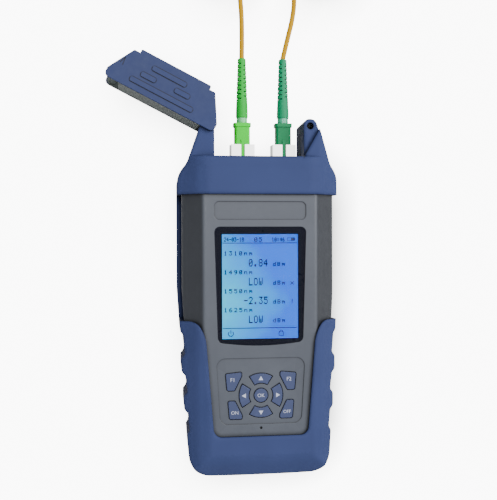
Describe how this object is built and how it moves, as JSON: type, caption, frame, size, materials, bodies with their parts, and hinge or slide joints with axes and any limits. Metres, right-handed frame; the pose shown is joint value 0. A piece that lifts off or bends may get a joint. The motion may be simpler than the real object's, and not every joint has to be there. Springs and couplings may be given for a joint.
{
  "type": "optical power meter",
  "caption": "Handheld optical power meter with rubber holster, flip port cover, display, keypad, battery bay and two plugged-in fibre test leads.",
  "frame": {"origin": "middle of the flat back face, on which the meter lies", "axes": "+Z out of the screen, +Y towards the ports, +X to the right of the screen"},
  "size_m": [0.245, 0.3389, 0.0458],
  "materials": {
    "case_plastic": "fine moulded texture",
    "holster_rubber": "satin",
    "cover_plastic": "satin",
    "key_rubber": "satin",
    "pad_rubber": "matte",
    "window_glass": "clear",
    "mask_print": "printed black border",
    "lcd": "blue backlit display",
    "white_plastic": "white",
    "lens_plastic": "dark lens",
    "board": "green solder mask",
    "chip_plastic": "black",
    "steel": "plated",
    "cell_wrap": "shrink wrap",
    "ceramic": "polished ceramic",
    "plug_plastic": "green",
    "boot_rubber": "satin green",
    "cord_jacket": "yellow jacket"
  },
  "bodies": {
    "case": {"adapter_left": "white_plastic", "adapter_right": "white_plastic", "battery_cell_1": "cell_wrap", "battery_cell_2": "cell_wrap", "battery_cell_3": "cell_wrap", "battery_cell_4": "cell_wrap", "battery_contacts": "steel", "board_chips": "chip_plastic", "buzzer": "chip_plastic", "case_screws": "steel", "cord_coil_left": "cord_jacket", "cord_coil_right": "cord_jacket", "cord_left": "cord_jacket", "cord_right": "cord_jacket", "cord_tail_left": "cord_jacket", "cord_tail_right": "cord_jacket", "display_mask": "mask_print", "display_window": "window_glass", "far_boot_left": "boot_rubber", "far_boot_right": "boot_rubber", "far_frame_left": "plug_plastic", "far_frame_right": "plug_plastic", "far_grip_left": "plug_plastic", "far_grip_right": "plug_plastic", "front_shell": "case_plastic", "key_mat": "pad_rubber", "lcd_panel": "lcd", "lcd_tray": "white_plastic", "light_pipe": "lens_plastic", "main_board": "board", "optics_block": "chip_plastic", "plug_boot_left": "boot_rubber", "plug_boot_right": "boot_rubber", "plug_ferrule_left": "ceramic", "plug_ferrule_right": "ceramic", "plug_frame_left": "plug_plastic", "plug_frame_right": "plug_plastic", "plug_grip_left": "plug_plastic", "plug_grip_right": "plug_plastic", "port_plate": "steel", "rear_shell": "case_plastic", "rubber_holster": "holster_rubber", "sleeve_left": "ceramic", "sleeve_right": "ceramic"},
    "cover": {"cover_frame": "cover_plastic", "cover_front_plate": "cover_plastic", "cover_hinge_pin": "steel", "cover_rear_plate": "cover_plastic"},
    "door": {"battery_door": "case_plastic"},
    "arrow_key_down_cap": {"arrow_key_down": "key_rubber"},
    "arrow_key_left_cap": {"arrow_key_left": "key_rubber"},
    "arrow_key_right_cap": {"arrow_key_right": "key_rubber"},
    "arrow_key_up_cap": {"arrow_key_up": "key_rubber"},
    "function_key_left_cap": {"function_key_left": "key_rubber"},
    "function_key_right_cap": {"function_key_right": "key_rubber"},
    "ok_key_cap": {"ok_key": "key_rubber"},
    "power_key_left_cap": {"power_key_left": "key_rubber"},
    "power_key_right_cap": {"power_key_right": "key_rubber"}
  },
  "joints": [
    {"name": "cover_hinge", "type": "hinge", "parent": "case", "child": "cover", "pos_m": [-0.0303, 0.1002, 0.03], "axis": [0, 0, 1], "range_deg": [-80, 0]},
    {"name": "door_slide", "type": "slide", "parent": "case", "child": "door", "axis": [0, -1, 0], "range_m": [0, 0.006]},
    {"name": "arrow_key_down_press", "type": "slide", "parent": "case", "child": "arrow_key_down_cap", "axis": [0, 0, -1], "range_m": [0, 0.0008], "stiffness_N_per_m": 500},
    {"name": "arrow_key_left_press", "type": "slide", "parent": "case", "child": "arrow_key_left_cap", "axis": [0, 0, -1], "range_m": [0, 0.0008], "stiffness_N_per_m": 500},
    {"name": "arrow_key_right_press", "type": "slide", "parent": "case", "child": "arrow_key_right_cap", "axis": [0, 0, -1], "range_m": [0, 0.0008], "stiffness_N_per_m": 500},
    {"name": "arrow_key_up_press", "type": "slide", "parent": "case", "child": "arrow_key_up_cap", "axis": [0, 0, -1], "range_m": [0, 0.0008], "stiffness_N_per_m": 500},
    {"name": "function_key_left_press", "type": "slide", "parent": "case", "child": "function_key_left_cap", "axis": [0, 0, -1], "range_m": [0, 0.0008], "stiffness_N_per_m": 500},
    {"name": "function_key_right_press", "type": "slide", "parent": "case", "child": "function_key_right_cap", "axis": [0, 0, -1], "range_m": [0, 0.0008], "stiffness_N_per_m": 500},
    {"name": "ok_key_press", "type": "slide", "parent": "case", "child": "ok_key_cap", "axis": [0, 0, -1], "range_m": [0, 0.0008], "stiffness_N_per_m": 500},
    {"name": "power_key_left_press", "type": "slide", "parent": "case", "child": "power_key_left_cap", "axis": [0, 0, -1], "range_m": [0, 0.0008], "stiffness_N_per_m": 500},
    {"name": "power_key_right_press", "type": "slide", "parent": "case", "child": "power_key_right_cap", "axis": [0, 0, -1], "range_m": [0, 0.0008], "stiffness_N_per_m": 500}
  ]
}
